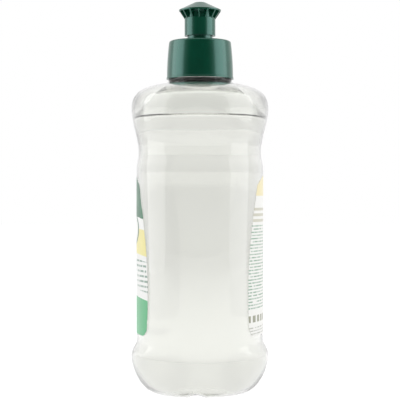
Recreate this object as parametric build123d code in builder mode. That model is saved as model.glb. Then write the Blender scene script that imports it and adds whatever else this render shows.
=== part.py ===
"""Dish soap bottle: a clear blow-moulded bottle with soap in it, two labels, a screw closure and a
push-pull spout. Millimetres, +Z up, the origin at the middle of the standing ring.
X is the bottle's width, with its grips and parting line, and the front label faces -Y."""

import os
from math import cos, pi, radians, sin, sqrt

from build123d import *

os.makedirs("parts", exist_ok=True)

# ---- Driving dimensions: bottle body ----
half_width = 38.6          # widest half size along X
half_depth = 33.7          # half size along Y, at the base and shoulder bulges
base_height = 16.0         # standing plane to the widest place of the base
step_height = 8.5          # sloping step from the base bulge in to the label panel
panel_height = 84.5        # straight label panel, above the step
waist_height = 8.2         # top of the panel to the middle of the waist
shoulder_rise = 16.3       # middle of the waist to the shoulder bulge
dome_height = 16.5         # shoulder bulge to the root of the neck
dome_power = 4             # how square the dome's shoulders are
wall = 0.7                 # blown wall of the body
panel_half_depth = 31.0    # middle of the label panels, along Y
taper_rise = 38.0          # panel's lower edge to where its sides start to narrow
panel_radius = 53.0        # curvature of the label panels, seen from above
waist_inset = 0.9          # waist inside the label panels, along Y
taper_width = 2.2          # narrowing of each side from the panel to the waist
grip_inset = 3.2           # middle of the finger grips, inside the widest half size
grip_radius = 32.0         # curvature of the grips, seen from above
grip_arc = 120.0           # degrees that a grip's form is turned through
cutter_reach = 4.0         # how far the panel and grip cutters reach past the body
brim_step = 0.6            # panel cutter's edges, outside the bulges

# ---- Driving dimensions: base ----
foot_power = 1.6           # roundness of the foot: 2 is a quarter of an ellipse
base_round = 10.2          # how far the standing ring lies inside the base bulge
push_up_inset = 15.5       # hollow under the base, inside the bulge
push_up_rise = 7.0
push_up_start = 1.0        # the hollow's cutter begins this far under the standing plane
notch_width = 8.0          # notch across the standing ring, at the parting line
notch_height = 2.0

# ---- Driving dimensions: neck ----
neck_radius = 12.55        # root of the thread
neck_bore_radius = 10.8
mouth_chamfer = 0.3
neck_height = 19.7         # root of the neck to its sealing land
neck_root = 1.45           # root of the neck, outside the thread's root
bead_step = 3.0            # bead under the closure, outside the thread's root
bead_height = 0.9
bead_rise = 1.4            # root of the neck up to the bead
bead_gap = 0.2             # bead to the closure's skirt
thread_height = 1.1        # thread's crest above its root
thread_pitch = 4.2
thread_turns = 1.5
thread_start = 7.8         # root of the neck to the thread's start
thread_root_share = 0.6    # width of the thread at its root, of its pitch
thread_crest_share = 0.24

# ---- Driving dimensions: fill and labels ----
headspace = 16.4           # root of the neck down to the surface of the soap
soap_clearance = 0.05      # soap to the wall
label_thickness = 0.1
label_margin = 4.0         # label inside the ends of its panel
front_label_half_width = 28.0
back_label_half_width = 25.8
label_hip_share = 0.87     # width of a label at its hips, of its widest
label_top_share = 0.62     # width of a label at its shoulders
label_corner = 6.0         # rounded lower corners
label_arch = 5.0           # rise of the arched top
label_lean = 0.5           # label's sides at its lower corners, inside its widest

# ---- Driving dimensions: closure ----
skirt_wall = 2.5           # at the foot, outside the skirt's bore
skirt_taper = 1.2          # narrowing up to the deck
skirt_lip = 0.9            # height of the lip round the foot
skirt_lip_step = 0.2
thread_clearance = 0.35    # skirt's bore to the thread's crest
deck_thickness = 1.5
deck_round = 1.1
plug_length = 3.0          # ring that seals inside the neck's mouth
plug_wall = 1.3
plug_clearance = 0.12
plug_lead = 0.3            # lead-in round the sealing ring's foot
plug_lead_height = 0.9
stem_radius = 6.2          # fixed stem that the spout slides on
stem_bore_radius = 4.6
stem_height = 9.8          # above the deck
stem_bead = 0.35           # stop bead round the stem's top
stem_bead_height = 1.4
pin_radius = 1.7           # pin that shuts the spout's orifice
pin_height = 8.9           # above the stem's top
pin_chamfer = 0.3
web_count = 3              # webs that hold the pin in the stem
web_width = 1.2
web_height = 2.5

# ---- Driving dimensions: spout ----
spout_gap = 2.6            # deck to the spout's foot, when it is shut
spout_wall = 0.8           # sliding barrel
spout_barrel = 8.7         # height of the barrel, up to its ribs
flange_reach = 2.75        # flange outside the barrel
flange_rise = 3.4          # top of the barrel to the flange
flange_edge = 0.7
flange_chamfer = 0.2
nose_rise = 3.7            # flange to the flat tip
tip_wall = 0.8             # flat tip round the orifice
orifice_clearance = 0.2    # pin to orifice
orifice_length = 1.6
running_clearance = 0.08   # stem to the spout's lip
bead_clearance = 0.25      # stem's bead to the spout's bore
lip_height = 1.6           # inner lip round the spout's foot
lip_lead = 0.4             # slope of the lip's upper edge
pocket_depth = 0.5         # pockets between the ribs, inside the barrel's face
rib_count = 14
rib_width = 0.8

# ---- Places that follow from them ----
step_top = base_height + step_height
panel_top = step_top + panel_height
taper_start = step_top + taper_rise
waist_level = panel_top + waist_height
shoulder_level = waist_level + shoulder_rise
neck_base = shoulder_level + dome_height
land_level = neck_base + neck_height
deck_level = land_level + deck_thickness
stem_top = deck_level + stem_height
pin_top = stem_top + pin_height
soap_level = neck_base - headspace
bead_level = neck_base + bead_rise
skirt_foot = bead_level + bead_height + bead_gap
spout_foot = deck_level + spout_gap
barrel_top = spout_foot + spout_barrel
flange_level = barrel_top + flange_rise
tip_level = flange_level + flange_edge + nose_rise
neck_root_radius = neck_radius + neck_root
bead_radius = neck_radius + bead_step
skirt_bore_radius = neck_radius + thread_height + thread_clearance
skirt_radius = skirt_bore_radius + skirt_wall
top_radius = skirt_radius - skirt_taper
plug_radius = neck_bore_radius - plug_clearance
spout_bore_radius = stem_radius + stem_bead + bead_clearance
spout_radius = spout_bore_radius + spout_wall
flange_radius = spout_radius + flange_reach
orifice_radius = pin_radius + orifice_clearance
bulge_step = half_depth - panel_half_depth
panel_axis = panel_radius - panel_half_depth
grip_half_width = half_width - grip_inset
grip_axis = grip_radius - grip_half_width
reach = 0.4                # how far a fused feature reaches into the one it stands on


def loft_ovals(slices):
    """Lofts oval slices, each (height, half size along X, half size along Y), into a solid."""
    sections = []
    for height, along_x, along_y in slices:
        with BuildSketch(Plane.XY.offset(height)) as section:
            Ellipse(along_x, along_y)
        sections.append(section.sketch)
    loft(sections)


def foot_slices(inset):
    """Standing ring up to the base bulge: a rounded foot, fuller than a quarter of an ellipse."""
    slices = []
    for rise in (0.0, 0.06, 0.19, 0.41, 0.69, 1.0):
        inward = base_round * (1 - (1 - (1 - rise) ** foot_power) ** (1 / foot_power))
        height = inset + rise * (base_height - inset)
        slices.append((height, half_width - inset - inward, half_depth - inset - inward))
    return slices


def side_slices(inset, low, high, steps):
    """Evenly spaced slices between two levels, narrower by an eased share of the taper: the last
    slice has all of it where high is the waist, and the first where low is the waist."""
    slices = []
    for step in range(steps + 1):
        rise = step / steps
        share = rise if high == waist_level else 1 - rise
        inward = taper_width * (1 - cos(pi * share)) / 2
        height = low + rise * (high - low)
        slices.append((height, half_width - inset - inward, half_depth - inset))
    return slices


def dome_slices(inset):
    """Shoulder bulge up to the root of the neck, where the oval becomes round."""
    slices = []
    for rise in (0.0, 0.3, 0.5, 0.66, 0.78, 0.88, 0.95, 0.99, 1.0):
        inward = 1 - sqrt(1 - rise**dome_power)
        height = shoulder_level + rise * (dome_height - inset)
        along_x = half_width - inset - inward * (half_width - neck_root_radius)
        along_y = half_depth - inset - inward * (half_depth - neck_root_radius)
        slices.append((height, along_x, along_y))
    return slices


def panel_cutter(inset):
    """What the mould leaves out in front: everything outside a turned form that has the panel's
    curvature, with the step at its foot, the waist above it and the flare to the shoulder."""
    face = panel_radius - inset
    out = face + bulge_step + cutter_reach
    brim = face + bulge_step + brim_step
    with BuildPart() as cutter:
        with BuildSketch(Plane.XZ.offset(-panel_axis)):
            with BuildLine():
                flare = Spline(
                    (face, panel_top),
                    (face - 0.85 * waist_inset, waist_level - 0.45 * waist_height),
                    (face - waist_inset, waist_level + 0.05 * shoulder_rise),
                    (face + 0.26 * bulge_step, waist_level + 0.58 * shoulder_rise),
                    (face + 0.98 * bulge_step, shoulder_level),
                    tangents=[(0, 1), (0.35, 1)],
                )
                Polyline(
                    flare @ 1,
                    (brim, shoulder_level + 0.15 * dome_height),
                    (out, shoulder_level + 0.15 * dome_height),
                    (out, base_height),
                    (brim, base_height),
                    (face + 0.85 * bulge_step, base_height + 0.35 * step_height),
                    (face + 0.12 * bulge_step, base_height + 0.8 * step_height),
                    (face, step_top),
                    flare @ 0,
                )
            make_face()
        revolve(axis=Axis((0, panel_axis, 0), (0, 0, 1)))
    return cutter.part


def grip_cutter(inset):
    """The finger grip on the +X side: a shallow saddle with a soft lip at its foot."""
    face = grip_half_width - inset
    out = face + grip_inset + cutter_reach
    turn = radians(-grip_arc / 2)
    plane = Plane(
        origin=(-grip_axis, 0, 0), x_dir=(cos(turn), sin(turn), 0), z_dir=(sin(turn), -cos(turn), 0)
    )
    with BuildPart() as cutter:
        with BuildSketch(plane):
            with BuildLine():
                saddle = Spline(
                    (face + grip_axis + 0.02 * grip_inset, waist_level - 0.45 * waist_height),
                    (face + grip_axis, waist_level + 0.05 * shoulder_rise),
                    (face + grip_axis + 0.38 * grip_inset, waist_level + 0.55 * shoulder_rise),
                    (face + grip_axis + 1.1 * grip_inset, shoulder_level),
                    tangents=[(0, 1), (0.3, 1)],
                )
                Polyline(
                    saddle @ 1,
                    (out + grip_axis, shoulder_level + 0.4 * dome_height),
                    (out + grip_axis, waist_level - 3.0 * waist_height),
                    (face + grip_axis + 0.7 * grip_inset, waist_level - 1.2 * waist_height),
                    saddle @ 0,
                )
            make_face()
        revolve(axis=Axis((-grip_axis, 0, 0), (0, 0, 1)), revolution_arc=grip_arc)
    return cutter.part


def push_up(grow):
    """The hollow under the base, an oval dome, larger by grow on every side."""
    with BuildPart() as dome:
        loft_ovals(
            [
                (
                    rise * (push_up_start + push_up_rise + grow) - push_up_start,
                    share * (half_width - push_up_inset + grow),
                    share * (half_depth - push_up_inset + grow),
                )
                for rise, share in [(0.0, 1.0), (0.3, 0.96), (0.6, 0.8), (0.85, 0.52), (1.0, 0.2)]
            ]
        )
    return dome.part


def notch(grow):
    """The notch across the standing ring at both ends of the parting line."""
    radius = (notch_width**2 / 4 + notch_height**2) / (2 * notch_height) + grow
    with BuildPart() as groove:
        with BuildSketch(Plane.YZ):
            with Locations((0, notch_height + grow - radius)):
                Circle(radius)
        extrude(amount=half_width, both=True)
    return groove.part


def body_form(inset):
    """The bottle below its neck, all round smaller by inset: an oval blank with panels and grips."""
    panel = panel_cutter(inset)
    grip = grip_cutter(inset)
    with BuildPart() as form:
        loft_ovals(foot_slices(inset))
        loft_ovals([foot_slices(inset)[-1], side_slices(inset, taper_start, waist_level, 8)[0]])
        loft_ovals(side_slices(inset, taper_start, waist_level, 8))
        loft_ovals(side_slices(inset, waist_level, shoulder_level, 4))
        loft_ovals(dome_slices(inset))
        add(panel, mode=Mode.SUBTRACT)
        add(panel.mirror(Plane.XZ), mode=Mode.SUBTRACT)
        add(grip, mode=Mode.SUBTRACT)
        add(grip.mirror(Plane.YZ), mode=Mode.SUBTRACT)
        add(push_up(inset), mode=Mode.SUBTRACT)
        add(notch(inset), mode=Mode.SUBTRACT)
    return form.part


def neck_thread():
    """One lead of thread round the neck."""
    root = thread_root_share * thread_pitch / 2
    crest = thread_crest_share * thread_pitch / 2
    with BuildPart() as lead:
        with BuildLine():
            helix = Helix(
                pitch=thread_pitch,
                height=thread_pitch * thread_turns,
                radius=neck_radius,
                center=(0, 0, neck_base + thread_start),
            )
        with BuildSketch(Plane(origin=helix @ 0, x_dir=(1, 0, 0), z_dir=helix % 0)):
            Polygon(
                (-reach, -root),
                (thread_height, -crest),
                (thread_height, crest),
                (-reach, root),
                align=None,
            )
        sweep(is_frenet=True)
    return lead.part


def label_sheet(widest):
    """A label on the front panel: a film that follows the panel, narrower towards its arched top."""
    foot = step_top + label_margin
    top = panel_top - label_margin
    shoulder = top - label_arch
    with BuildPart() as sheet:
        with BuildSketch(Plane((0, panel_axis, foot))):
            Circle(panel_radius + label_thickness)
            Circle(panel_radius, mode=Mode.SUBTRACT)
        extrude(amount=top - foot)
        with BuildSketch(Plane.XZ):
            with BuildLine():
                corner = TangentArc(
                    (widest - label_corner, foot),
                    (widest - label_lean, foot + label_corner),
                    tangent=(1, 0),
                )
                side = Spline(
                    corner @ 1,
                    (widest, foot + 0.35 * (shoulder - foot)),
                    (label_hip_share * widest, foot + 0.72 * (shoulder - foot)),
                    (label_top_share * widest, shoulder),
                )
                ThreePointArc(side @ 1, (0, top), (-label_top_share * widest, shoulder))
                mirror(Curve() + [corner, side], about=Plane.YZ)
                Line((label_corner - widest, foot), corner @ 0)
            make_face()
        extrude(amount=2 * half_depth, mode=Mode.INTERSECT)
    return sheet.part


# ---- bottle: one blow moulding ----
with BuildPart() as bottle:
    add(body_form(0))
    with BuildSketch(Plane.XZ):
        Polygon(
            (0, neck_base - wall),
            (neck_root_radius, neck_base - wall),
            (neck_root_radius, neck_base),
            (bead_radius, bead_level),
            (bead_radius, bead_level + bead_height),
            (neck_radius, bead_level + bead_height),
            (neck_radius, land_level - mouth_chamfer),
            (neck_radius - mouth_chamfer, land_level),
            (0, land_level),
            align=None,
        )
    revolve(axis=Axis.Z)
    add(neck_thread())
    add(body_form(wall), mode=Mode.SUBTRACT)
    with BuildSketch(Plane.XY.offset(neck_base - 2 * wall)):
        Circle(neck_bore_radius)
    extrude(amount=neck_height + 2 * wall, mode=Mode.SUBTRACT)
bottle.part.label = "bottle"

# ---- soap: fills the bottle up to the shoulder ----
with BuildPart() as soap:
    add(body_form(wall + soap_clearance))
    split(bisect_by=Plane.XY.offset(soap_level), keep=Keep.BOTTOM)
soap.part.label = "soap"

# ---- labels ----
with BuildPart() as front_label:
    add(label_sheet(front_label_half_width))
front_label.part.label = "front_label"

with BuildPart() as back_label:
    add(label_sheet(back_label_half_width).mirror(Plane.XZ))
back_label.part.label = "back_label"

# ---- closure: skirt, deck, sealing ring, stem, and the pin on its webs, one moulding ----
with BuildPart() as closure:
    with BuildSketch(Plane.XZ):
        with BuildLine():
            ThreePointArc(
                (skirt_radius - skirt_lip_step, skirt_foot + skirt_lip),
                (skirt_radius - 0.4 * skirt_taper, skirt_foot + 0.5 * (deck_level - skirt_foot)),
                (top_radius, deck_level - deck_round),
            )
            RadiusArc(
                (top_radius, deck_level - deck_round),
                (top_radius - deck_round, deck_level),
                -deck_round,
            )
            Polyline(
                (top_radius - deck_round, deck_level),
                (stem_radius, deck_level),
                (stem_radius, stem_top - stem_bead_height),
                (stem_radius + stem_bead, stem_top - stem_bead_height + stem_bead),
                (stem_radius + stem_bead, stem_top - stem_bead),
                (stem_radius, stem_top),
                (stem_bore_radius, stem_top),
                (stem_bore_radius, land_level),
                (plug_radius - plug_wall, land_level),
                (plug_radius - plug_wall, land_level - plug_length),
                (plug_radius - plug_lead, land_level - plug_length),
                (plug_radius, land_level - plug_length + plug_lead_height),
                (plug_radius, land_level),
                (skirt_bore_radius, land_level),
                (skirt_bore_radius, skirt_foot),
                (skirt_radius, skirt_foot),
                (skirt_radius, skirt_foot + skirt_lip - skirt_lip_step),
                (skirt_radius - skirt_lip_step, skirt_foot + skirt_lip),
            )
        make_face()
    revolve(axis=Axis.Z)
    with BuildSketch(Plane.XY.offset(stem_top - web_height)):
        Circle(pin_radius)
    extrude(amount=pin_top - stem_top + web_height)
    with BuildSketch(Plane.XY.offset(stem_top - web_height)):
        with PolarLocations(0, web_count):
            Rectangle(stem_bore_radius + reach, web_width, align=(Align.MIN, Align.CENTER))
    extrude(amount=web_height)
    chamfer(closure.faces().sort_by(Axis.Z)[-1].edges(), pin_chamfer)
closure.part.label = "closure"

# ---- spout: slides on the stem ----
with BuildPart() as rib:
    with BuildSketch(Plane.XZ):
        Polygon(
            (spout_radius - pocket_depth - reach, barrel_top - reach),
            (spout_radius, barrel_top - reach),
            (flange_radius - flange_chamfer, flange_level),
            (flange_radius - flange_chamfer, flange_level + reach),
            (spout_radius - pocket_depth - reach, flange_level + reach),
            align=None,
        )
    extrude(amount=rib_width / 2, both=True)

with BuildPart() as spout:
    with BuildSketch(Plane.XZ):
        Polygon(
            (stem_radius + running_clearance, spout_foot),
            (spout_radius, spout_foot),
            (spout_radius, barrel_top),
            (spout_radius - pocket_depth, barrel_top + pocket_depth / 2),
            (spout_radius - pocket_depth, flange_level),
            (flange_radius - flange_chamfer, flange_level),
            (flange_radius, flange_level + flange_chamfer),
            (flange_radius, flange_level + flange_edge),
            (orifice_radius + tip_wall, tip_level),
            (orifice_radius, tip_level),
            (orifice_radius, tip_level - orifice_length),
            (spout_bore_radius, barrel_top),
            (spout_bore_radius, spout_foot + lip_height),
            (stem_radius + running_clearance, spout_foot + lip_height - lip_lead),
            align=None,
        )
    revolve(axis=Axis.Z)
    with PolarLocations(0, rib_count):
        add(rib.part)
spout.part.label = "spout"

for piece in (bottle, soap, front_label, back_label, closure, spout):
    export_step(piece.part, f"parts/{piece.part.label}.step")
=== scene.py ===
"""Dish soap bottle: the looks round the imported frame. Metres, +Z up, the front label facing -Y."""

import logging
from collections.abc import Iterable
from dataclasses import dataclass
from enum import Enum
from math import atan2, cos, exp, pi, radians, sin, sqrt

import bmesh
import bpy
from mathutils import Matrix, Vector

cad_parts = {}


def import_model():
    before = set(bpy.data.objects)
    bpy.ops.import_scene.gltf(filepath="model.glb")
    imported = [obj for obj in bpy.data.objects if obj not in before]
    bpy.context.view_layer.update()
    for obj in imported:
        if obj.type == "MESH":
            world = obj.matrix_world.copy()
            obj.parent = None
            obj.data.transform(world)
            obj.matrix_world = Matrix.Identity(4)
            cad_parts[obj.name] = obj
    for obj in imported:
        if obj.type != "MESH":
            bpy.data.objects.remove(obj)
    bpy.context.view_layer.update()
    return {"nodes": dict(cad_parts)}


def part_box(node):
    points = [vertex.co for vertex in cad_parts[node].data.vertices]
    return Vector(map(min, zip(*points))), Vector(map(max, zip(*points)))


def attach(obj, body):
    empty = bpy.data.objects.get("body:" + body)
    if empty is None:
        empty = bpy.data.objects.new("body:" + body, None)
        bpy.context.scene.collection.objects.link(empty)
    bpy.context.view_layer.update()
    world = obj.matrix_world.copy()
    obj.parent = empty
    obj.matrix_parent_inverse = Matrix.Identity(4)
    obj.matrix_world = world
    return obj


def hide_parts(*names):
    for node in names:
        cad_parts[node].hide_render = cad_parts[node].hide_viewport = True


LOG = logging.getLogger("bottle")
MM = 0.001
MATH = "ShaderNodeMath"
MIX = "ShaderNodeMix"


class Side(Enum):
    """Which way a label faces."""

    FRONT = -1.0
    BACK = 1.0


def linear(hex_colour: str) -> tuple[float, float, float, float]:
    """Turns an sRGB hex colour to linear.

    Args:
        hex_colour: six hex digits, such as "07503B".

    Returns:
        Linear red, green, blue and an alpha of 1.
    """
    parts = [int(hex_colour[place : place + 2], 16) / 255 for place in (0, 2, 4)]
    flat = [part / 12.92 if part <= 0.04045 else ((part + 0.055) / 1.055) ** 2.4 for part in parts]
    return flat[0], flat[1], flat[2], 1.0


def ease(value: float, low: float, high: float) -> float:
    """Smooth step of value from 0 at low to 1 at high."""
    share = min(max((value - low) / (high - low), 0.0), 1.0)
    return share * share * (3 - 2 * share)


def soft_min(one: float, other: float, blend: float) -> float:
    """Smaller of two lengths, with a rounded change-over.

    Args:
        one: first length.
        other: second length.
        blend: difference at which the rounding begins.

    Returns:
        The smaller length, a little less where they are close.
    """
    near = max(blend - abs(one - other), 0.0) / blend
    return min(one, other) - near * near * blend / 4


def add_node(
    tree: bpy.types.NodeTree, kind: str, inputs: dict | None = None, **settings: object
) -> bpy.types.Node:
    """Adds one node with its settings, values and links.

    Args:
        tree: node tree that gets the node.
        kind: Blender's name of the node type.
        inputs: socket name or index to a value, to an output socket, or to a node for its first output.
        settings: attributes of the node.

    Returns:
        The new node.
    """
    node = tree.nodes.new(kind)
    for name, value in settings.items():
        setattr(node, name, value)
    for socket, value in (inputs or {}).items():
        if isinstance(value, bpy.types.Node):
            value = value.outputs[0]
        if isinstance(value, bpy.types.NodeSocket):
            tree.links.new(value, node.inputs[socket])
        else:
            node.inputs[socket].default_value = value
    return node


def new_material(name: str) -> tuple[bpy.types.Material, bpy.types.NodeTree, bpy.types.Node]:
    """Starts a node material.

    Args:
        name: material's name.

    Returns:
        The material, its node tree and its output node.
    """
    material = bpy.data.materials.new(name)
    material.use_nodes = True
    tree = material.node_tree
    tree.nodes.clear()
    return material, tree, add_node(tree, "ShaderNodeOutputMaterial")


def finish_piece(mesh: bmesh.types.BMesh, name: str, material: bpy.types.Material) -> bpy.types.Object:
    """Turns a bmesh into a smooth object at the origin.

    Args:
        mesh: the bmesh, which is freed.
        name: object's name.
        material: its material.

    Returns:
        The new object.
    """
    bmesh.ops.remove_doubles(mesh, verts=mesh.verts, dist=1e-7)
    bmesh.ops.recalc_face_normals(mesh, faces=mesh.faces)
    data = bpy.data.meshes.new(name)
    mesh.to_mesh(data)
    mesh.free()
    data.shade_smooth()
    data.materials.append(material)
    piece = bpy.data.objects.new(name, data)
    bpy.context.scene.collection.objects.link(piece)
    return piece


@dataclass(frozen=True)
class ClearPet:
    """Blow-moulded PET, uncoloured: water-clear and glossy, with the mould's faint long waves."""

    tint: str = "FCFCFB"
    ior: float = 1.5
    roughness: float = 0.06
    wave_length: float = 22.22 * MM
    wave_strength: float = 0.06
    wave_height: float = 2.0 * MM

    def build(self) -> bpy.types.Material:
        """Makes the material.

        Returns:
            The new material.
        """
        material, tree, output = new_material("clear_blown_pet")
        place = add_node(tree, "ShaderNodeTexCoord")
        waves = add_node(
            tree,
            "ShaderNodeTexNoise",
            {"Vector": place.outputs["Object"], "Scale": 1 / self.wave_length, "Detail": 1.0},
        )
        bump = add_node(
            tree,
            "ShaderNodeBump",
            {
                "Height": waves.outputs["Fac"],
                "Strength": self.wave_strength,
                "Distance": self.wave_height,
            },
        )
        shader = add_node(
            tree,
            "ShaderNodeBsdfPrincipled",
            {
                "Base Color": linear(self.tint),
                "Roughness": self.roughness,
                "IOR": self.ior,
                "Transmission Weight": 1.0,
                "Normal": bump.outputs["Normal"],
            },
        )
        tree.links.new(shader.outputs["BSDF"], output.inputs["Surface"])
        return material


@dataclass(frozen=True)
class ClearSoap:
    """Colourless washing-up liquid: clear, with a very slight grey-green depth of colour."""

    tint: str = "FAFBF8"
    ior: float = 1.35
    depth_tint: str = "DDDDD2"
    depth_per_metre: float = 4.0

    def build(self) -> bpy.types.Material:
        """Makes the material.

        Returns:
            The new material.
        """
        material, tree, output = new_material("clear_liquid_soap")
        shader = add_node(
            tree,
            "ShaderNodeBsdfPrincipled",
            {
                "Base Color": linear(self.tint),
                "Roughness": 0.0,
                "IOR": self.ior,
                "Transmission Weight": 1.0,
            },
        )
        depth = add_node(
            tree,
            "ShaderNodeVolumeAbsorption",
            {"Color": linear(self.depth_tint), "Density": self.depth_per_metre},
        )
        tree.links.new(shader.outputs["BSDF"], output.inputs["Surface"])
        tree.links.new(depth.outputs["Volume"], output.inputs["Volume"])
        return material


@dataclass(frozen=True)
class GreenPolypropylene:
    """Injection-moulded polypropylene, dark green: satin, with clouds of a slightly deeper green.

    The mould's texture gives it a fine grain, which only softens the shine at this distance.
    """

    colour: str = "054A35"
    deep: str = "033E2B"
    shine: str = "C7FDF7"
    shine_level: float = 1.0
    roughness: float = 0.2
    cloud_size: float = 11.11 * MM
    grain_size: float = 0.4 * MM
    grain_strength: float = 0.05
    grain_height: float = 0.2 * MM

    def build(self) -> bpy.types.Material:
        """Makes the material.

        Returns:
            The new material.
        """
        material, tree, output = new_material("dark_green_polypropylene")
        place = add_node(tree, "ShaderNodeTexCoord")
        spot = place.outputs["Object"]
        cloud = add_node(tree, "ShaderNodeTexNoise", {"Vector": spot, "Scale": 1 / self.cloud_size})
        plain, deep = linear(self.colour), linear(self.deep)
        colour = add_node(tree, MIX, {0: cloud.outputs["Fac"], 6: plain, 7: deep}, data_type="RGBA")
        grain = add_node(tree, "ShaderNodeTexNoise", {"Vector": spot, "Scale": 1 / self.grain_size})
        bump = add_node(
            tree,
            "ShaderNodeBump",
            {
                "Height": grain.outputs["Fac"],
                "Strength": self.grain_strength,
                "Distance": self.grain_height,
            },
        )
        shader = add_node(
            tree,
            "ShaderNodeBsdfPrincipled",
            {
                "Base Color": colour.outputs[2],
                "Roughness": self.roughness,
                "Specular IOR Level": self.shine_level,
                "Specular Tint": linear(self.shine),
                "Normal": bump.outputs["Normal"],
            },
        )
        tree.links.new(shader.outputs["BSDF"], output.inputs["Surface"])
        return material


@dataclass(frozen=True)
class Band:
    """A field of colour across a label, from a share of its height upwards."""

    start: float
    colour: str


@dataclass(frozen=True)
class Rows:
    """Rows of small plain marks between two shares of a label's height, in place of its writing."""

    low: float
    high: float
    pitch: float
    fill: float
    colour: str
    column: float = 0.0
    column_fill: float = 0.62
    word_length: float = 1.111 * MM
    word_gap: float = 0.44

    def mask(
        self,
        tree: bpy.types.NodeTree,
        x: bpy.types.NodeSocket,
        height: bpy.types.Node,
        share: bpy.types.Node,
    ) -> bpy.types.Node:
        """Makes the share of ink of these rows.

        Args:
            tree: material's node tree.
            x: place across the label.
            height: height above the first row's foot.
            share: share of the label's height.

        Returns:
            A node that gives 1 on the marks and 0 elsewhere.
        """
        line = add_node(tree, MATH, {0: height, 1: self.pitch}, operation="FLOORED_MODULO")
        ink = add_node(tree, MATH, {0: line, 1: self.fill * self.pitch}, operation="LESS_THAN")
        if self.column:
            shifted = add_node(tree, MATH, {0: x, 1: self.column / 4}, operation="ADD")
            place = add_node(tree, MATH, {0: shifted, 1: self.column}, operation="FLOORED_MODULO")
            filled = self.column_fill * self.column
            marks = add_node(tree, MATH, {0: place, 1: filled}, operation="LESS_THAN")
        else:
            row = add_node(tree, MATH, {0: height, 1: self.pitch}, operation="SNAP")
            along = add_node(tree, "ShaderNodeCombineXYZ", {"X": x, "Y": 0.0, "Z": row})
            words = add_node(
                tree,
                "ShaderNodeTexNoise",
                {"Vector": along, "Scale": 1 / self.word_length, "Detail": 0.0},
            )
            marks = add_node(
                tree, MATH, {0: words.outputs["Fac"], 1: self.word_gap}, operation="GREATER_THAN"
            )
        above = add_node(tree, MATH, {0: share, 1: self.low}, operation="GREATER_THAN")
        below = add_node(tree, MATH, {0: share, 1: self.high}, operation="LESS_THAN")
        for limit in (marks, above, below):
            ink = add_node(tree, MATH, {0: ink, 1: limit}, operation="MULTIPLY")
        return ink


@dataclass(frozen=True)
class Badge:
    """A plain oval on a label: a coloured rim round a pale middle."""

    centre: float
    half_width: float
    half_height: float
    rim_colour: str
    middle_colour: str
    middle_share: float = 0.78

    def stamp(
        self,
        tree: bpy.types.NodeTree,
        x: bpy.types.NodeSocket,
        rise: bpy.types.Node,
        colour: bpy.types.NodeSocket,
    ) -> bpy.types.NodeSocket:
        """Lays the oval over a label's colour.

        Args:
            tree: material's node tree.
            x: place across the label.
            rise: height above the oval's middle.
            colour: colour under it.

        Returns:
            The socket with the new colour.
        """
        tall = add_node(tree, MATH, {0: rise, 1: self.half_height}, operation="DIVIDE")
        wide = add_node(tree, MATH, {0: x, 1: self.half_width}, operation="DIVIDE")
        wide = add_node(tree, MATH, {0: wide, 1: wide}, operation="MULTIPLY")
        oval = add_node(tree, MATH, {0: tall, 1: tall, 2: wide}, operation="MULTIPLY_ADD")
        for edge, paint in ((1.0, self.rim_colour), (self.middle_share, self.middle_colour)):
            within = add_node(tree, MATH, {0: oval, 1: edge}, operation="LESS_THAN")
            laid = add_node(tree, MIX, {0: within, 6: colour, 7: linear(paint)}, data_type="RGBA")
            colour = laid.outputs[2]
        return colour


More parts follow.
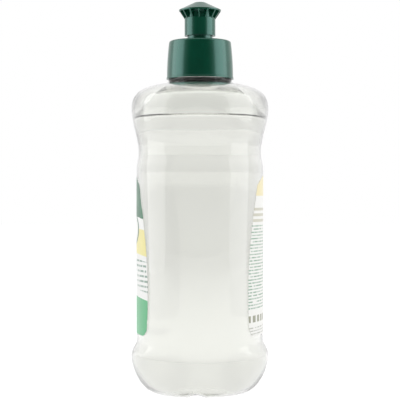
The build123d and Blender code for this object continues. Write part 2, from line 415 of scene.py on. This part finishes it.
@dataclass(frozen=True)
class PrintedFilm:
    """Printed and varnished polypropylene film: even gloss, flat inks outside, plain white inside."""

    name: str
    side: Side
    low: float
    high: float
    bands: tuple[Band, ...]
    rows: tuple[Rows, ...]
    badge: Badge | None = None
    field_start: float = 1.0
    field_colour: str = "3F7A5C"
    fleck_pitch: float = 7.143 * MM
    fleck_reach: float = 0.42
    half_width: float = 28.0 * MM
    arch: float = 0.0
    reverse: str = "F8F8F5"
    roughness: float = 0.3

    def build(self) -> bpy.types.Material:
        """Makes the material: bands, rows of marks, a field of leaf-like flecks and a badge.

        Returns:
            The new material.
        """
        material, tree, output = new_material(self.name)
        place = add_node(tree, "ShaderNodeTexCoord")
        parts = add_node(tree, "ShaderNodeSeparateXYZ", {0: place.outputs["Object"]})
        x, z = parts.outputs["X"], parts.outputs["Z"]
        tall = self.high - self.low
        off = add_node(tree, MATH, {0: x, 1: self.half_width}, operation="DIVIDE")
        off = add_node(tree, MATH, {0: off, 1: off}, operation="MULTIPLY")
        drop = add_node(tree, MATH, {0: off, 1: self.arch, 2: -self.arch}, operation="MULTIPLY_ADD")
        bent = add_node(tree, MATH, {0: z, 1: drop}, operation="ADD")
        share = add_node(
            tree, "ShaderNodeMapRange", {"Value": bent, "From Min": self.low, "From Max": self.high}
        )
        ramp = add_node(tree, "ShaderNodeValToRGB", {0: share})
        ramp.color_ramp.interpolation = "CONSTANT"
        while len(ramp.color_ramp.elements) < len(self.bands):
            ramp.color_ramp.elements.new(1.0)
        for element, band in zip(ramp.color_ramp.elements, self.bands):
            element.position = band.start
        for element, band in zip(ramp.color_ramp.elements, self.bands):
            element.color = linear(band.colour)
        colour = ramp.outputs[0]
        for rows in self.rows:
            foot = self.low + rows.low * tall
            height = add_node(tree, MATH, {0: z, 1: foot}, operation="SUBTRACT")
            ink = rows.mask(tree, x, height, share)
            laid = add_node(tree, MIX, {0: ink, 6: colour, 7: linear(rows.colour)}, data_type="RGBA")
            colour = laid.outputs[2]
        cells = add_node(
            tree,
            "ShaderNodeTexVoronoi",
            {"Vector": place.outputs["Object"], "Scale": 1 / self.fleck_pitch},
        )
        fleck = add_node(
            tree, MATH, {0: cells.outputs["Distance"], 1: self.fleck_reach}, operation="LESS_THAN"
        )
        field = add_node(tree, MATH, {0: share, 1: self.field_start}, operation="GREATER_THAN")
        fleck = add_node(tree, MATH, {0: fleck, 1: field}, operation="MULTIPLY")
        leaf = linear(self.field_colour)
        colour = add_node(tree, MIX, {0: fleck, 6: colour, 7: leaf}, data_type="RGBA").outputs[2]
        if self.badge:
            middle = self.low + self.badge.centre * tall
            rise = add_node(tree, MATH, {0: z, 1: middle}, operation="SUBTRACT")
            colour = self.badge.stamp(tree, x, rise, colour)
        normal = add_node(tree, "ShaderNodeSeparateXYZ", {0: place.outputs["Normal"]})
        facing = add_node(
            tree, MATH, {0: normal.outputs["Y"], 1: self.side.value}, operation="MULTIPLY"
        )
        printed = add_node(tree, MATH, {0: facing, 1: 0.0}, operation="GREATER_THAN")
        inside = linear(self.reverse)
        colour = add_node(tree, MIX, {0: printed, 6: inside, 7: colour}, data_type="RGBA").outputs[2]
        shader = add_node(
            tree,
            "ShaderNodeBsdfPrincipled",
            {"Base Color": colour, "Roughness": self.roughness},
        )
        tree.links.new(shader.outputs["BSDF"], output.inputs["Surface"])
        return material


@dataclass
class BlownBottle:
    """The blow-moulded bottle and the soap in it: an oval blank with turned panels and grips."""

    half_width: float = 38.6 * MM
    half_depth: float = 33.7 * MM
    base_height: float = 16.0 * MM
    step_top: float = 24.5 * MM
    taper_start: float = 62.5 * MM
    panel_top: float = 109.0 * MM
    waist: float = 117.2 * MM
    shoulder: float = 133.5 * MM
    neck_base: float = 150.0 * MM
    wall: float = 0.7 * MM
    panel_half_depth: float = 31.0 * MM
    panel_radius: float = 53.0 * MM
    waist_inset: float = 0.9 * MM
    taper: float = 2.2 * MM
    grip_inset: float = 3.2 * MM
    grip_radius: float = 32.0 * MM
    grip_foot: float = 113.5 * MM
    grip_soft: float = 4.0 * MM
    base_round: float = 10.2 * MM
    push_up_inset: float = 15.5 * MM
    push_up_rise: float = 7.0 * MM
    notch_width: float = 8.0 * MM
    notch_height: float = 2.0 * MM
    notch_start: float = 16.0 * MM
    notch_full: float = 19.0 * MM
    lift_margin: float = 2.0 * MM
    neck_root: float = 14.0 * MM
    neck_radius: float = 12.55 * MM
    neck_bore: float = 10.8 * MM
    land: float = 169.7 * MM
    bead_radius: float = 15.55 * MM
    bead_level: float = 151.4 * MM
    bead_height: float = 0.9 * MM
    thread_height: float = 1.1 * MM
    thread_pitch: float = 4.2 * MM
    thread_turns: float = 1.5
    thread_start: float = 157.8 * MM
    soap_level: float = 133.6 * MM
    soap_gap: float = 0.05 * MM
    meniscus: float = 1.2 * MM
    crease_round: float = 1.8 * MM
    dome_power: float = 4.0
    foot_power: float = 1.6
    form_reach: float = 2.0 * MM
    flare: float = 3.8 * MM
    panel_flare_power: float = 1.36
    grip_flare_power: float = 1.67
    flare_start: float = 118.0 * MM
    lip_slope: float = 0.35
    thread_fade: float = 0.06
    thread_crest: float = 0.12
    thread_root: float = 0.30
    thread_step: float = 0.25 * MM
    base_rows: int = 24
    foot_rows: int = 20
    side_step: float = 0.9 * MM
    dome_rows: int = 36
    # distances from the wall in millimetres, close together where the surface climbs it
    surface_rows: tuple[float, ...] = (
        0.1, 0.25, 0.45, 0.7, 1.0, 1.4, 1.9, 2.6, 3.5, 5.0, 8.0, 12.0, 18.0, 26.0, 36.0,
    )  # fmt: skip
    segments: int = 160

    def oval(self, height: float, inset: float) -> tuple[float, float]:
        """Half sizes of the blank.

        Args:
            height: height above the standing plane.
            inset: distance inside the outer face.

        Returns:
            Half sizes along X and Y.
        """
        if height < self.base_height:
            rise = max((height - inset) / (self.base_height - inset), 0.0)
            inward = self.base_round * (1 - (1 - (1 - rise) ** self.foot_power) ** (1 / self.foot_power))
            return self.half_width - inset - inward, self.half_depth - inset - inward
        if height < self.shoulder:
            low = self.taper_start if height < self.waist else self.shoulder
            share = min(max((height - low) / (self.waist - low), 0.0), 1.0)
            inward = self.taper * (1 - cos(pi * share)) / 2
            return self.half_width - inset - inward, self.half_depth - inset
        rise = min((height - self.shoulder) / (self.neck_base - inset - self.shoulder), 1.0)
        inward = 1 - sqrt(1 - rise**self.dome_power)
        return (
            self.half_width - inset - inward * (self.half_width - self.neck_root),
            self.half_depth - inset - inward * (self.half_depth - self.neck_root),
        )

    def flare_rise(self, height: float) -> float:
        """Share of the way from the waist up to the shoulder, more than 1 above the shoulder."""
        return max((height - self.flare_start) / (self.shoulder - self.waist), 0.0)

    def panel_depth(self, height: float) -> float:
        """Half depth of the turned panel form.

        Args:
            height: height above the standing plane.

        Returns:
            The half depth.
        """
        full = self.half_depth + self.form_reach - self.panel_half_depth
        step = full * (1 - ease(height, self.base_height - 1 * MM, self.step_top + 0.5 * MM))
        waist = self.waist_inset * ease(height, self.panel_top, self.waist - 2 * MM)
        flare = self.flare * self.flare_rise(height) ** self.panel_flare_power
        return self.panel_half_depth + step - waist + flare

    def grip_width(self, height: float) -> float:
        """Half width of the turned grip form: a slope up to its lip, then a saddle.

        Args:
            height: height above the standing plane.

        Returns:
            The half width.
        """
        under = self.grip_foot + self.grip_soft / 2 - height
        if under < self.grip_soft:
            lip = self.lip_slope * max(under, 0.0) ** 2 / (2 * self.grip_soft)
        else:
            lip = self.lip_slope * (under - self.grip_soft / 2)
        flare = self.flare * self.flare_rise(height) ** self.grip_flare_power
        return self.half_width - self.grip_inset + lip + flare

    def radius(self, angle: float, height: float, inset: float) -> float:
        """Distance from the axis to the wall.

        Args:
            angle: direction seen from above, in radians from +X.
            height: height above the standing plane.
            inset: distance inside the outer face.

        Returns:
            The distance, with creases rounded.
        """
        along, across = cos(angle), sin(angle)
        half_x, half_y = self.oval(height, inset)
        reach = 1 / sqrt((along / half_x) ** 2 + (across / half_y) ** 2)
        axis = self.panel_radius - self.panel_half_depth
        form = self.panel_depth(height) - inset + axis
        panel = sqrt(form**2 - (axis * along) ** 2) - axis * abs(across)
        grip_axis = self.grip_radius - self.half_width + self.grip_inset
        turned = self.grip_width(height) - inset + grip_axis
        grip = sqrt(turned**2 - (grip_axis * across) ** 2) - grip_axis * abs(along)
        return soft_min(soft_min(reach, panel, self.crease_round), grip, self.crease_round)

    def lift(self, x: float, y: float, height: float, grow: float) -> float:
        """Raises a point of the base over the push-up and the notches.

        Args:
            x: its place along X.
            y: its place along Y.
            height: its height on the plain base.
            grow: distance inside the outer face.

        Returns:
            Its new height.
        """
        half_x = self.half_width - self.push_up_inset + grow
        half_y = self.half_depth - self.push_up_inset + grow
        inside = 1 - (x / half_x) ** 2 - (y / half_y) ** 2
        dome = self.push_up_rise * sqrt(inside) if inside > 0 else 0.0
        notch = self.notch_height * max(1 - (2 * y / self.notch_width) ** 2, 0.0)
        notch *= ease(abs(x), self.notch_start, self.notch_full)
        raised = max(height, grow + dome, grow + notch)
        return raised if height < self.push_up_rise + self.lift_margin else height

    def levels(self, low: float, high: float, step: float) -> list[float]:
        """Evenly spaced heights from low to high."""
        count = max(round((high - low) / step), 1)
        return [low + (high - low) * place / count for place in range(count + 1)]

    def wall_rows(self, inset: float, top: float) -> list[tuple[float, float]]:
        """Rows of one face of the body, from the middle of the base up to a height.

        Args:
            inset: distance inside the outer face.
            top: highest row.

        Returns:
            Pairs of the share of the radius and the height, before the base's lift.
        """
        rows = [(step / self.base_rows, inset) for step in range(self.base_rows)]
        foot = self.base_height - inset
        for step in range(self.foot_rows):
            rows.append((1.0, inset + foot * (1 - cos(pi * step / (2 * self.foot_rows)))))
        sides = self.levels(self.base_height, min(top, self.shoulder), self.side_step)
        rows += [(1.0, height) for height in sides]
        if top > self.shoulder:
            dome = self.neck_base - inset - self.shoulder
            for step in range(1, self.dome_rows + 1):
                rows.append((1.0, self.shoulder + dome * sin(pi * step / (2 * self.dome_rows))))
        return rows

    def spin(self, count: int) -> bmesh.types.BMesh:
        """Spins a plain line of vertices into a tube of rings, one ring for each row.

        Args:
            count: number of rows.

        Returns:
            The tube, with each ring's height the number of its row.
        """
        mesh = bmesh.new()
        line = [mesh.verts.new((1.0, 0.0, float(row))) for row in range(count)]
        edges = [mesh.edges.new(pair) for pair in zip(line, line[1:])]
        bmesh.ops.spin(
            mesh,
            geom=line + edges,
            cent=(0, 0, 0),
            axis=(0, 0, 1),
            angle=2 * pi,
            steps=self.segments,
            use_merge=True,
        )
        return mesh

    def thread(self, angle: float, height: float) -> float:
        """How far the neck's thread stands out.

        Args:
            angle: direction seen from above, in radians from +X.
            height: height above the standing plane.

        Returns:
            The distance.
        """
        turn = (height - self.thread_start) / self.thread_pitch - (angle % (2 * pi)) / (2 * pi)
        nearest = round(turn)
        travel = nearest + (angle % (2 * pi)) / (2 * pi)
        if not -0.01 <= travel <= self.thread_turns:
            return 0.0
        off = abs(turn - nearest)
        fade = ease(travel, 0.0, self.thread_fade)
        fade *= 1 - ease(travel, self.thread_turns - self.thread_fade, self.thread_turns)
        return self.thread_height * fade * (1 - ease(off, self.thread_crest, self.thread_root))

    def bottle_mesh(self) -> bmesh.types.BMesh:
        """The closed wall: outer face up to the neck, over the sealing land and down the inner face.

        Returns:
            The wall's bmesh.
        """
        outer = [("outer", share, height) for share, height in self.wall_rows(0.0, self.neck_base)]
        bead_top = self.bead_level + self.bead_height
        neck = [
            ("ring", self.neck_root, self.neck_base),
            ("ring", self.bead_radius - 0.15 * MM, self.bead_level - 0.1 * MM),
            ("ring", self.bead_radius, self.bead_level + 0.05 * MM),
            ("ring", self.bead_radius, bead_top - 0.1 * MM),
            ("ring", self.bead_radius - 0.2 * MM, bead_top),
            ("ring", self.neck_radius + 0.3 * MM, bead_top),
        ]
        finish = self.levels(bead_top + 0.3 * MM, self.land - 0.3 * MM, self.thread_step)
        neck += [("thread", self.neck_radius, height) for height in finish]
        neck += [
            ("ring", self.neck_radius - 0.3 * MM, self.land),
            ("ring", self.neck_bore + 0.2 * MM, self.land),
            ("ring", self.neck_bore, self.land - 0.2 * MM),
            ("ring", self.neck_bore, self.neck_base - 0.8 * MM),
        ]
        inner = [("inner", share, height) for share, height in self.wall_rows(self.wall, self.neck_base)]
        rows = outer + neck + inner[::-1]
        mesh = self.spin(len(rows))
        for vertex in mesh.verts:
            kind, share, height = rows[round(vertex.co.z)]
            angle = atan2(vertex.co.y, vertex.co.x)
            if kind in ("outer", "inner"):
                inset = 0.0 if kind == "outer" else self.wall
                reach = share * self.radius(angle, height, inset)
            else:
                inset = 0.0
                reach = share + (self.thread(angle, height) if kind == "thread" else 0.0)
            x, y = reach * cos(angle), reach * sin(angle)
            raised = self.lift(x, y, height, inset) if kind in ("outer", "inner") else height
            vertex.co = (x, y, raised)
        return mesh

    def soap_mesh(self) -> bmesh.types.BMesh:
        """The soap: the inside of the wall up to its level, with a raised edge at the wall.

        Returns:
            The soap's bmesh.
        """
        inset = self.wall + self.soap_gap
        rows = self.wall_rows(inset, self.soap_level)
        for off in self.surface_rows:
            sunk = self.meniscus * (1 - exp(-off * MM / self.meniscus))
            rows.append((1 - off / self.surface_rows[-1], self.soap_level - sunk))
        mesh = self.spin(len(rows))
        for vertex in mesh.verts:
            share, height = rows[round(vertex.co.z)]
            angle = atan2(vertex.co.y, vertex.co.x)
            reach = share * self.radius(angle, height, inset)
            x, y = reach * cos(angle), reach * sin(angle)
            vertex.co = (x, y, self.lift(x, y, height, inset))
        return mesh

    def build(self, pet: bpy.types.Material, soap: bpy.types.Material) -> None:
        """Makes the bottle and the soap and puts them in the frame.

        Args:
            pet: the wall's material.
            soap: the soap's material.
        """
        shell = finish_piece(self.bottle_mesh(), "blown_bottle", pet)
        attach(shell, "bottle")
        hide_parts("bottle")
        shell.visible_shadow = False
        fill = finish_piece(self.soap_mesh(), "soap_fill", soap)
        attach(fill, "bottle")
        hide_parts("soap")
        fill.visible_shadow = False
        LOG.info("bottle: %d and soap: %d faces", len(shell.data.polygons), len(fill.data.polygons))


@dataclass
class Labels:
    """The two printed labels on the bottle's panels."""

    front_bands: tuple[Band, ...] = (
        Band(0.0, "5DB781"),
        Band(0.22, "F3F3F1"),
        Band(0.49, "F3E9A0"),
        Band(0.65, "F6F6F4"),
        Band(0.72, "2F6B4E"),
    )
    front_rows: tuple[Rows, ...] = (Rows(0.27, 0.46, 2.4 * MM, 0.4, "8FA79A"),)
    front_badge: Badge = Badge(0.66, 17.0 * MM, 8.5 * MM, "0B5A3F", "F6F6F2")
    back_bands: tuple[Band, ...] = (Band(0.0, "F5F5F1"), Band(0.87, "F4E8B8"))
    back_rows: tuple[Rows, ...] = (
        Rows(0.01, 0.065, 1.4 * MM, 0.42, "B9BBB2"),
        Rows(0.085, 0.155, 6.4 * MM, 0.5, "9A9C88", 5.0 * MM),
        Rows(0.169, 0.69, 1.5 * MM, 0.42, "8FAF9A"),
        Rows(0.708, 0.805, 2.7 * MM, 0.5, "CFCDBC", 60.0 * MM),
    )

    def dress(self, nodes: dict[str, bpy.types.Object]) -> None:
        """Gives each label its print.

        Args:
            nodes: the frame's nodes by name.
        """
        for name, side in (("front_label", Side.FRONT), ("back_label", Side.BACK)):
            lowest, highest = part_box(name)
            if side is Side.FRONT:
                film = PrintedFilm(
                    name + "_film",
                    side,
                    lowest.z,
                    highest.z,
                    self.front_bands,
                    self.front_rows,
                    badge=self.front_badge,
                    field_start=0.72,
                    arch=1.5 * MM,
                )
            else:
                film = PrintedFilm(
                    name + "_film",
                    side,
                    lowest.z,
                    highest.z,
                    self.back_bands,
                    self.back_rows,
                )
            nodes[name].data.materials.clear()
            nodes[name].data.materials.append(film.build())
            LOG.info("%s printed", name)


@dataclass
class Cap:
    """The screw closure and the spout, one green moulding each."""

    def dress(self, nodes: dict[str, bpy.types.Object], green: bpy.types.Material) -> None:
        """Gives both mouldings their plastic.

        Args:
            nodes: the frame's nodes by name.
            green: the plastic.
        """
        for name in ("closure", "spout"):
            nodes[name].data.materials.clear()
            nodes[name].data.materials.append(green)
            LOG.info("%s dressed", name)


@dataclass
class Studio:
    """Pale floor, white surroundings, two soft lamps and the camera."""

    distance: float = 0.616
    eye: float = 93.1 * MM
    azimuth: float = 3.5
    frame_width: float = 197.0 * MM
    floor_size: float = 4.0
    floor_glow: float = 0.55
    floor_through: float = 0.36
    sky_light: float = 0.6
    through_middle: float = 0.96
    through_sides: float = 0.92
    sides_from: float = 0.1
    sides_to: float = 0.8
    dark_from: float = 0.2
    dark_to: float = 0.8
    dark_level: float = 0.01
    floor_colour: str = "E9E9E9"
    light_colour: str = "FFFFFF"
    lamp_along: float = 0.1
    lamp_away: float = 0.9
    lamp_height: float = 0.4
    lamp_aim: float = 0.12
    lamp_size: tuple[float, float] = (0.9, 1.1)
    lamp_power: float = 5.0
    sensor: float = 36.0

    def floor(self) -> None:
        """Makes the floor: pale, and white to the camera where no shadow falls."""
        mesh = bmesh.new()
        bmesh.ops.create_grid(mesh, x_segments=1, y_segments=1, size=self.floor_size)
        material, tree, output = new_material("pale_floor")
        path = add_node(tree, "ShaderNodeLightPath").outputs
        bent = add_node(
            tree, MATH, {0: path["Is Transmission Ray"], 1: path["Is Glossy Ray"]}, operation="MAXIMUM"
        )
        lift = add_node(tree, MATH, {0: bent, 1: self.floor_through}, operation="MULTIPLY")
        seen = {0: path["Is Camera Ray"], 1: self.floor_glow, 2: lift}
        lift = add_node(tree, MATH, seen, operation="MULTIPLY_ADD")
        paint = add_node(tree, "ShaderNodeBsdfDiffuse", {"Color": linear(self.floor_colour)})
        white = linear(self.light_colour)
        glow = add_node(tree, "ShaderNodeEmission", {"Color": white, "Strength": lift})
        both = add_node(tree, "ShaderNodeAddShader", {0: paint, 1: glow})
        tree.links.new(both.outputs[0], output.inputs["Surface"])
        finish_piece(mesh, "floor", material)

    def world(self) -> None:
        """Makes the surroundings: white to the eye, pale through the bottle, softer as light."""
        world = bpy.data.worlds.new("studio")
        bpy.context.scene.world = world
        world.use_nodes = True
        tree = world.node_tree
        tree.nodes.clear()
        output = add_node(tree, "ShaderNodeOutputWorld")
        path = add_node(tree, "ShaderNodeLightPath").outputs
        place = add_node(tree, "ShaderNodeTexCoord")
        parts = add_node(tree, "ShaderNodeSeparateXYZ", {0: place.outputs["Generated"]})
        mirrored = add_node(
            tree,
            "ShaderNodeMapRange",
            {
                "Value": parts.outputs["X"],
                "From Min": self.dark_from,
                "From Max": self.dark_to,
                "To Min": 1.0,
                "To Max": self.dark_level,
            },
        )
        sideways = add_node(tree, MATH, {0: parts.outputs["Y"]}, operation="ABSOLUTE")
        through = add_node(
            tree,
            "ShaderNodeMapRange",
            {
                "Value": sideways,
                "From Min": self.sides_from,
                "From Max": self.sides_to,
                "To Min": self.through_middle,
                "To Max": self.through_sides,
            },
            interpolation_type="SMOOTHSTEP",
        )
        depth = path["Transmission Depth"]
        inside = add_node(tree, MATH, {0: depth, 1: 0.5}, operation="GREATER_THAN")
        level = add_node(tree, MIX, {0: inside, 2: mirrored, 3: through}, data_type="FLOAT")
        glossy = {0: path["Is Glossy Ray"], 2: self.sky_light, 3: level}
        level = add_node(tree, MIX, glossy, data_type="FLOAT")
        bent = {0: path["Is Transmission Ray"], 2: level, 3: through}
        level = add_node(tree, MIX, bent, data_type="FLOAT")
        seen = {0: path["Is Camera Ray"], 2: level, 3: 1.0}
        level = add_node(tree, MIX, seen, data_type="FLOAT")
        light = add_node(
            tree, "ShaderNodeBackground", {"Color": linear(self.light_colour), "Strength": level}
        )
        tree.links.new(light.outputs[0], output.inputs["Surface"])

    def lamp(self, name: str, side: float) -> None:
        """Adds a soft box that faces the bottle and isn't seen through it.

        Args:
            name: lamp's name.
            side: -1 in front of the front label, 1 behind the back label.
        """
        place = (self.lamp_along, side * self.lamp_away, self.lamp_height)
        data = bpy.data.lights.new(name, "AREA")
        data.shape = "RECTANGLE"
        data.size, data.size_y = self.lamp_size
        data.energy = self.lamp_power
        lamp = bpy.data.objects.new(name, data)
        bpy.context.scene.collection.objects.link(lamp)
        lamp.location = place
        lamp.visible_transmission = False
        aim = Vector((0, 0, self.lamp_aim)) - Vector(place)
        lamp.rotation_euler = aim.to_track_quat("-Z", "Y").to_euler()

    def camera(self) -> None:
        """Puts the camera level with the middle of the bottle, facing its narrow side."""
        data = bpy.data.cameras.new("camera")
        data.sensor_width = self.sensor
        data.lens = data.sensor_width * self.distance / self.frame_width
        data.clip_start = 0.01
        camera = bpy.data.objects.new("camera", data)
        bpy.context.scene.collection.objects.link(camera)
        turn = radians(self.azimuth)
        camera.location = (self.distance * cos(turn), self.distance * sin(turn), self.eye)
        camera.rotation_euler = (pi / 2, 0, turn + pi / 2)
        bpy.context.scene.camera = camera

    def build(self) -> None:
        """Sets up the whole studio."""
        self.floor()
        self.world()
        self.lamp("left_box", -1.0)
        self.lamp("right_box", 1.0)
        self.camera()
        bpy.context.scene.view_settings.view_transform = "Standard"


def main() -> None:
    """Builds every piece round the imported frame."""
    logging.basicConfig(level=logging.INFO)
    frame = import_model()
    nodes = frame["nodes"]
    BlownBottle().build(ClearPet().build(), ClearSoap().build())
    Labels().dress(nodes)
    Cap().dress(nodes, GreenPolypropylene().build())
    Studio().build()


if __name__ == "__main__":
    main()
